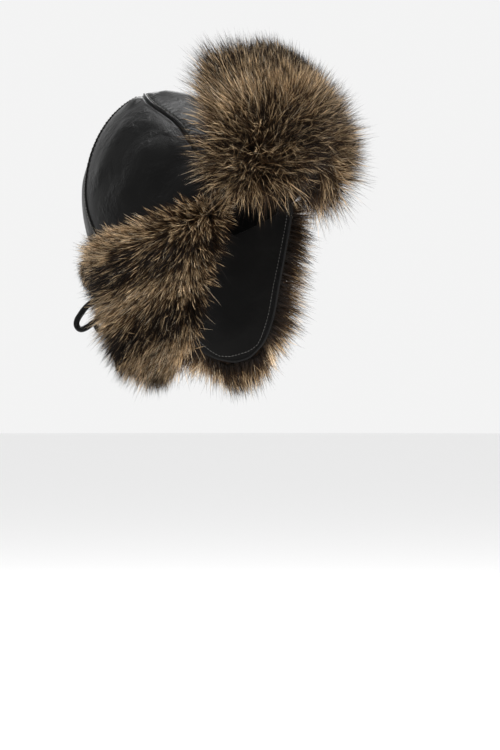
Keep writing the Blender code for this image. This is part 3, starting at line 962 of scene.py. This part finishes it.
def evenly(line, pitch):
    """A line drawn again through evenly spaced points."""
    at, place = spaced(line, pitch)
    return np.vstack([place(at), line[-1:]])


edge_rows = []
for flap_name, (flap_surface, _, _) in FLAPS.items():
    edge = evenly(flap_outline(flap_surface, 0.0, FLAP_LEATHER * 0.5), EDGE_ROLL_PITCH)
    roll = lace_tube(edge, diameter=EDGE_ROLL)
    tube_object(f"{flap_name}_edge_roll", [roll], FLAP_SIDE, "black_leather")
    if flap_name != "neck_flap":
        inner = flap_outline(flap_surface, EDGE_STITCH, FLAP_LEATHER)
        edge_rows.append(stitch_row(inner, outward=-1.0))
thread_object("flap_stitches", edge_rows)

# %% [markdown]
# ## Fur
#
# Hair is made as long thin ribbons in joined meshes. Each small tuft has a root on the hide, a lie that comes
# from smooth functions of the place, and hairs that lean together towards its tip. The lies and lengths
# follow the CAD fur, with noise on top.

# %% How the pile lies
FRONT_PILE = 0.056
FRONT_ROOT_LAYER = 0.014
FRONT_FAN_BASE = 1.0
FRONT_FAN = 2.55
FRONT_CLIMB_MIDDLE = 12.0
FRONT_CLIMB_CORNER = -22.0
FRONT_CLIMB_TOP = 84.0
FRONT_TOP_SHARE = 0.76
FRONT_TOP_CORNER = 0.22
FRONT_CORNER_CUT = 0.10
FRONT_MIDDLE_CUT = 0.40
EAR_PILE = 0.037
EAR_ROOT_LAYER = 0.009
EAR_TOP_SHARE = 0.80
EAR_CORNER_CUT = 0.10
EAR_FRONT_TURN_TOP = math.radians(95.0)
EAR_FRONT_TURN_MOST = math.radians(140.0)
EAR_FRONT_TURN_END = math.radians(122.0)
EAR_FRONT_TURN_SHARE = 0.16
EAR_REAR_TURN = (math.radians(-14.0), math.radians(60.0))
NECK_PILE = 0.020
NECK_ROOT_LAYER = 0.005
NECK_END_TURN = math.radians(14.0)
LOCK_STAND = 0.66
LOCK_SWEEP = 0.75


def front_lie(surface, u, v):
    """The front flap's pile fans to both sides, droops at its low corners and stands up at the top."""
    side = 2.0 * u - 1.0
    fan = mix(FRONT_FAN_BASE, FRONT_FAN, smooth(v / 0.35))
    bearing = fan * side * mix(FRONT_FLAP_BASE_SPREAD, FRONT_FLAP_TOP_SPREAD, v)
    low = mix(FRONT_CLIMB_MIDDLE, FRONT_CLIMB_CORNER, smooth((np.abs(side) - 0.05) / 0.65))
    beside = smooth(np.abs(side) / 0.7)
    share = smooth(v / mix(1.0, 0.80, beside)) ** mix(1.15, 0.75, beside)
    climb = np.radians(mix(low, FRONT_CLIMB_TOP, share))
    flat = np.cos(climb)
    return to_hat(np.sin(bearing) * flat, -np.cos(bearing) * flat, np.sin(climb))


def front_length(u, v):
    """The front pile is shorter along the top, at its low corners and over the forehead's middle."""
    side = np.abs(2.0 * u - 1.0)
    low_corner = smooth((side - 0.6) / 0.4) * smooth((0.45 - v) / 0.45)
    low_middle = smooth((0.60 - side) / 0.50) * smooth((0.30 - v) / 0.30)
    along_top = smooth((v - 0.45) / 0.4)
    top = FRONT_TOP_SHARE + FRONT_TOP_CORNER * smooth((side - 0.4) / 0.6)
    cut = FRONT_CORNER_CUT * low_corner + FRONT_MIDDLE_CUT * low_middle
    return FRONT_PILE * (mix(1.0, top, along_top) - cut)


def swept(surface, u, v, behind, turn):
    """A lie that stands off a hanging flap and sweeps this way behind, turned down by an angle."""
    outward, down = frame_of(surface, u, v)
    level = unit(np.cross(outward, down))
    level = np.where(dot(level, behind) < 0.0, -level, level)
    cos, sin = np.cos(turn)[..., None], np.sin(turn)[..., None]
    return unit(outward * LOCK_STAND + (level * cos + down * sin) * LOCK_SWEEP)


def ear_lie(surface, u, v):
    """An ear flap's pile sweeps back and down from its front corner, and forward along its front edge."""
    before = mix(EAR_FRONT_TURN_TOP, EAR_FRONT_TURN_MOST, smooth(v / EAR_FRONT_TURN_SHARE))
    past = (v - EAR_FRONT_TURN_SHARE) / (1.0 - EAR_FRONT_TURN_SHARE)
    before = mix(before, EAR_FRONT_TURN_END, smooth(past))
    turn = mix(before, mix(*EAR_REAR_TURN, v), np.clip(u * 1.15, 0.0, 1.0) ** 0.75)
    return swept(surface, u, v, np.array([0.0, 1.0, 0.0]), turn)


def ear_length(u, v):
    corner = smooth((0.35 - u) / 0.35) * smooth((0.40 - v) / 0.40)
    return EAR_PILE * (mix(EAR_TOP_SHARE, 1.0, smooth(v * 1.6)) - EAR_CORNER_CUT * corner)


def neck_lie(surface, u, v):
    """The neck flap's pile lies as on the ear flaps at its ends and straight down at the middle."""
    side = 2.0 * u - 1.0
    turn = mix(math.radians(90.0), NECK_END_TURN, smooth(np.abs(side)))
    behind = np.stack([side, np.zeros_like(side), np.zeros_like(side)], axis=-1)
    return swept(surface, u, v, behind, turn)


def neck_length(u, v):
    return NECK_PILE * np.ones_like(u)


print("pile", FRONT_PILE, EAR_PILE, NECK_PILE)

# %% Growing the hair
SEED = 7
HAIR_RINGS = np.array([0.0, 0.30, 0.66])
HAIR_SPREAD = 0.55
HAIR_WIDTH = 0.00042
TUFT_HAIRS = 15
TUFT_RADIUS = 0.0018
GUARD_SHARE = 0.20
LIE_WANDER = 0.030
LIE_SEED = 11
RIM = 0.16


def wander(place, scale, seed):
    """Smooth pseudo-random directions over space, from a few sine waves."""
    rng = np.random.default_rng(seed)
    total = np.zeros_like(place)
    for _ in range(5):
        wave = unit(rng.normal(size=3)) * 2.0 * math.pi / scale * rng.uniform(0.6, 1.5)
        total += np.sin(place @ wave + rng.uniform(0.0, 2.0 * math.pi))[..., None] * rng.normal(size=3)
    return total / 2.2


def crowd_edges(share, power):
    """Moves shares towards 0 and 1, so that the rims are well covered."""
    off = 2.0 * share - 1.0
    return 0.5 + 0.5 * np.sign(off) * np.abs(off) ** power


def inside_rims(u, v):
    """0 at the rims of a surface, and 1 from a fifth of the way in."""
    return smooth(np.minimum(np.minimum(u, 1.0 - u), np.minimum(v, 1.0 - v)) * 5.0)


def beyond(share):
    """-1 at a surface's first rim and 1 at its last, and 0 well inside."""
    return np.where(share < 0.5, -1.0, 1.0) * smooth((RIM - np.minimum(share, 1.0 - share)) / RIM)


def grow_hair(name, node, surface, coat, tufts, seed):
    """Tufts of hair on a surface of two shares, in one mesh.

    A coat is the depth of its root layer, its lie, length, tones and untidiness as functions of the place, and
    how far the rim where v is 0 brushes away from the rest.
    """
    root_layer, lie_of, length_of, tones, mess, lift = coat
    rng = np.random.default_rng(SEED + seed)
    index = np.arange(tufts)
    u = crowd_edges((0.5 + index * 0.7548776662466927) % 1.0, 0.82)
    v = crowd_edges((0.5 + index * 0.5698402909980532) % 1.0, 0.82)
    place = surface(u, v)
    normal, run_v = frame_of(surface, u, v)
    run_u = unit(surface(u + 1e-3, v) - surface(u - 1e-3, v))
    spread = normal * 0.55 + run_u * beyond(u)[:, None] * 0.8 + run_v * beyond(v)[:, None] * 0.8
    inside = inside_rims(u, v)
    root = place + normal * (root_layer * 0.8 * inside)[:, None]
    rough = mess(u, v)
    upper = smooth((RIM - v) / RIM) * lift
    lie = unit(lie_of(surface, u, v) + spread * HAIR_SPREAD - run_v * upper[:, None])
    lie = lie + wander(place, LIE_WANDER, LIE_SEED) * (0.16 + 0.5 * rough)[:, None]
    lie = unit(lie + rng.normal(size=(tufts, 3)) * (0.10 + 0.42 * rough)[:, None])
    length = (length_of(u, v) - root_layer * 0.5 * inside) * rng.uniform(0.86, 1.08, tufts)
    tuft_tip = root + lie * length[:, None]

    count = tufts * TUFT_HAIRS
    own = np.repeat(np.arange(tufts), TUFT_HAIRS)
    guard = rng.uniform(size=count) < GUARD_SHARE
    stray = rng.uniform(size=count) < 0.04 + 0.16 * rough[own]
    offset = rng.normal(scale=TUFT_RADIUS, size=(count, 3))
    offset -= normal[own] * dot(offset, normal[own])
    start = root[own] + offset
    hair_lie = unit(lie[own] + rng.normal(scale=0.15, size=(count, 3)))
    hair_lie[stray] = unit(hair_lie[stray] + rng.normal(scale=0.45, size=(stray.sum(), 3)))
    sunk = np.minimum(dot(hair_lie, normal[own]) - 0.12, 0.0)
    hair_lie = unit(hair_lie - normal[own] * sunk)
    reach = length[own] * np.where(guard, rng.uniform(0.98, 1.13, count), rng.uniform(0.62, 1.0, count))
    tip = start + hair_lie * reach[:, None]
    gather = np.where(guard, rng.uniform(0.0, 0.5, count), rng.uniform(0.3, 0.9, count))
    gather = np.where(stray, 0.0, gather)
    tip += (start + (tuft_tip[own] - start) * (reach / length[own])[:, None] - tip) * gather[:, None]
    tip -= offset * (gather * 0.8)[:, None]
    stand = unit(normal[own] * 0.45 + hair_lie * 0.85)
    bend = start + (stand + rng.normal(scale=0.09, size=(count, 3))) * (reach * 0.45)[:, None]
    tip[:, 2] -= 0.04 * reach

    across = unit(np.cross(tip - start, rng.normal(size=(count, 3))))
    half = HAIR_WIDTH * np.where(guard, 1.20, 0.95) * rng.uniform(0.75, 1.2, count) * 0.5
    rings = []
    for share, narrow in zip(HAIR_RINGS, (1.0, 1.0, 0.72)):
        point = (1 - share) ** 2 * start + 2 * share * (1 - share) * bend + share**2 * tip
        rings.append(point - across * (half * narrow)[:, None])
        rings.append(point + across * (half * narrow)[:, None])
    rings.append(tip)
    points = np.stack(rings, axis=1).reshape(-1, 3)
    base = np.arange(count)[:, None] * 7
    triangles = np.array([[0, 1, 3], [0, 3, 2], [2, 3, 5], [2, 5, 4], [4, 5, 6]])
    faces = (base[:, None, :] + triangles[None]).reshape(-1, 3)

    tone = (tones(place, u, v) + rng.normal(scale=0.20, size=tufts))[own] + rng.normal(scale=0.10, size=count)
    tone = np.where(rng.uniform(size=count) < 0.12, rng.uniform(0.02, 0.98, count), tone)
    kind = np.where(guard & (tone > BLACK_HAIR), rng.uniform(0.68, 0.91, count), tone)
    kind = np.clip(kind, 0.004, 0.994)
    data = bpy.data.meshes.new(name)
    data.vertices.add(len(points))
    data.vertices.foreach_set("co", points.ravel())
    data.loops.add(faces.size)
    data.loops.foreach_set("vertex_index", faces.ravel())
    data.polygons.add(len(faces))
    data.polygons.foreach_set("loop_start", np.arange(0, faces.size, 3))
    data.update(calc_edges=True)
    layer = data.uv_layers.new(name=FUR_UV)
    ring_v = np.repeat(np.append(HAIR_RINGS, 1.0), [2, 2, 2, 1])
    ring_u = np.array([-1, 1, -1, 1, -1, 1, 0]) * 0.002
    uv = np.stack([kind[:, None] + ring_u[None], np.broadcast_to(ring_v, (count, 7))], axis=-1).reshape(-1, 2)
    layer.data.foreach_set("uv", uv[faces.ravel()].ravel())
    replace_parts(hat_object(name, data, FUR, "raccoon_fur"), node)
    print(name, count, "hairs", len(faces), "triangles")


def front_tones(place, u, v):
    """Brown with pale streaks, darker where the pile parts, below that and along the top."""
    parting = np.exp(-(((v - 0.40) / 0.16) ** 2) - ((u - 0.5) / 0.6) ** 2)
    low, top = smooth((0.4 - v) / 0.3), smooth((v - 0.55) / 0.4)
    return 0.59 - 0.27 * parting - 0.20 * low - 0.14 * top + 0.14 * wander(place, 0.045, 5)[..., 0]


def ear_tones(place, u, v):
    """Cross bands of paler and darker hair down the flap."""
    bands = np.cos(2.0 * math.pi * (v * 2.3 - 0.02))
    return 0.42 + 0.24 * bands + 0.10 * smooth((v - 0.7) / 0.3) + 0.12 * wander(place, 0.045, 6)[..., 0]


def neck_tones(place, u, v):
    return 0.46 + 0.15 * wander(place, 0.045, 8)[..., 0]


def front_mess(u, v):
    """The pile is untidy below its parting."""
    return smooth((0.66 - v) / 0.3) * 0.85


def no_mess(u, v):
    return np.zeros_like(u)


# %% Underfur pads
UNDERFUR_WALL = 0.0015
HIDE_GAP = 0.0006


def underfur(name, surface, depth, columns, rows, node):
    """A closed pillow of short wool on a flap, under the guard hair."""

    def outer(u, v):
        normal, _ = frame_of(surface, u, v)
        return surface(u, v) + normal * (depth * inside_rims(u, v))[..., None]

    shares = np.linspace(0.0, 1.0, columns), np.linspace(0.0, 1.0, rows)
    pad = grid_object(name, outer, *shares, UNDERFUR, "raccoon_fur")
    thicken(pad, UNDERFUR_WALL, inward=False)
    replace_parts(pad, node)


FRONT_SKIN = front_flap_surface(FRONT_FLAP_SEAT + FLAP_LEATHER + HIDE_GAP)
EAR_SKINS = {"left": ear_flap_surface(1.0, HIDE_GAP), "right": ear_flap_surface(-1.0, HIDE_GAP)}
NECK_SKIN = neck_flap_surface(HIDE_GAP)
underfur("front_underfur", FRONT_SKIN, FRONT_ROOT_LAYER * 0.75, 36, 20, "front_flap_fur")
for word, skin in EAR_SKINS.items():
    underfur(f"ear_{word}_underfur", skin, EAR_ROOT_LAYER * 0.7, 22, 30, f"ear_flap_{word}_fur")
underfur("neck_underfur", NECK_SKIN, NECK_ROOT_LAYER * 0.7, 40, 8, "neck_flap_fur")
print("underfur pads made")

# %% Guard hair
# root layer, lie, length, tones, untidiness, how far the rim where v is 0 brushes away
FRONT_COAT = (FRONT_ROOT_LAYER, front_lie, front_length, front_tones, front_mess, -0.30)
EAR_COAT = (EAR_ROOT_LAYER, ear_lie, ear_length, ear_tones, no_mess, 0.5)
NECK_COAT = (NECK_ROOT_LAYER, neck_lie, neck_length, neck_tones, no_mess, 0.1)
for hair_name, node, skin, coat, tufts, seed in (
    ("front_guard_hair_1", "front_flap_fur", FRONT_SKIN, FRONT_COAT, 2500, 100),
    ("front_guard_hair_2", "front_flap_fur", FRONT_SKIN, FRONT_COAT, 2500, 200),
    ("ear_left_guard_hair", "ear_flap_left_fur", EAR_SKINS["left"], EAR_COAT, 2500, 300),
    ("ear_right_guard_hair", "ear_flap_right_fur", EAR_SKINS["right"], EAR_COAT, 2500, 310),
    ("neck_guard_hair", "neck_flap_fur", NECK_SKIN, NECK_COAT, 950, 500),
):
    grow_hair(hair_name, node, skin, coat, tufts, seed)

# %% [markdown]
# ## Light and floor
#
# One soft lamp above and two weak ones, in an evenly white room with a plain pale floor.

# %% Light
def area_light(name, place, size, power):
    """A round soft lamp that shines on the hat."""
    bpy.ops.object.light_add(type="AREA", location=place)
    lamp = bpy.context.object
    lamp.name = name
    lamp.data.shape = "DISK"
    lamp.data.size = size
    lamp.data.energy = power
    lamp.rotation_euler = (-Vector(place)).to_track_quat("-Z", "Y").to_euler()


area_light("overhead", (-0.05, 0.25, 1.75), 0.7, 37.0)
area_light("back", (1.2, 0.5, 1.0), 0.8, 8.0)
area_light("front", (-0.2, -1.9, 0.9), 0.8, 21.0)
world = bpy.data.worlds.new("white_studio")
world.use_nodes = True
world.node_tree.nodes["Background"].inputs["Color"].default_value = (1.0, 1.0, 1.0, 1.0)
world.node_tree.nodes["Background"].inputs["Strength"].default_value = 0.90
bpy.context.scene.world = world
bpy.context.scene.view_settings.view_transform = "Standard"
print("lights", [lamp.name for lamp in bpy.data.lights])

# %% Floor
FLOOR_RISE = -0.48
FLOOR_THICKNESS = 0.02
FLOOR_MIDDLE = (0.0, 0.0, FLOOR_RISE - 0.5 * FLOOR_THICKNESS)
white, _, white_shader = new_material("white_floor")
white_shader.inputs["Base Color"].default_value = (0.90, 0.90, 0.90, 1.0)
white_shader.inputs["Roughness"].default_value = 0.95
bpy.ops.mesh.primitive_cylinder_add(vertices=96, radius=14.0, depth=FLOOR_THICKNESS, location=FLOOR_MIDDLE)
floor = bpy.context.object
floor.name = "white_floor"
floor.data.materials.append(white)
print("floor at", FLOOR_RISE)
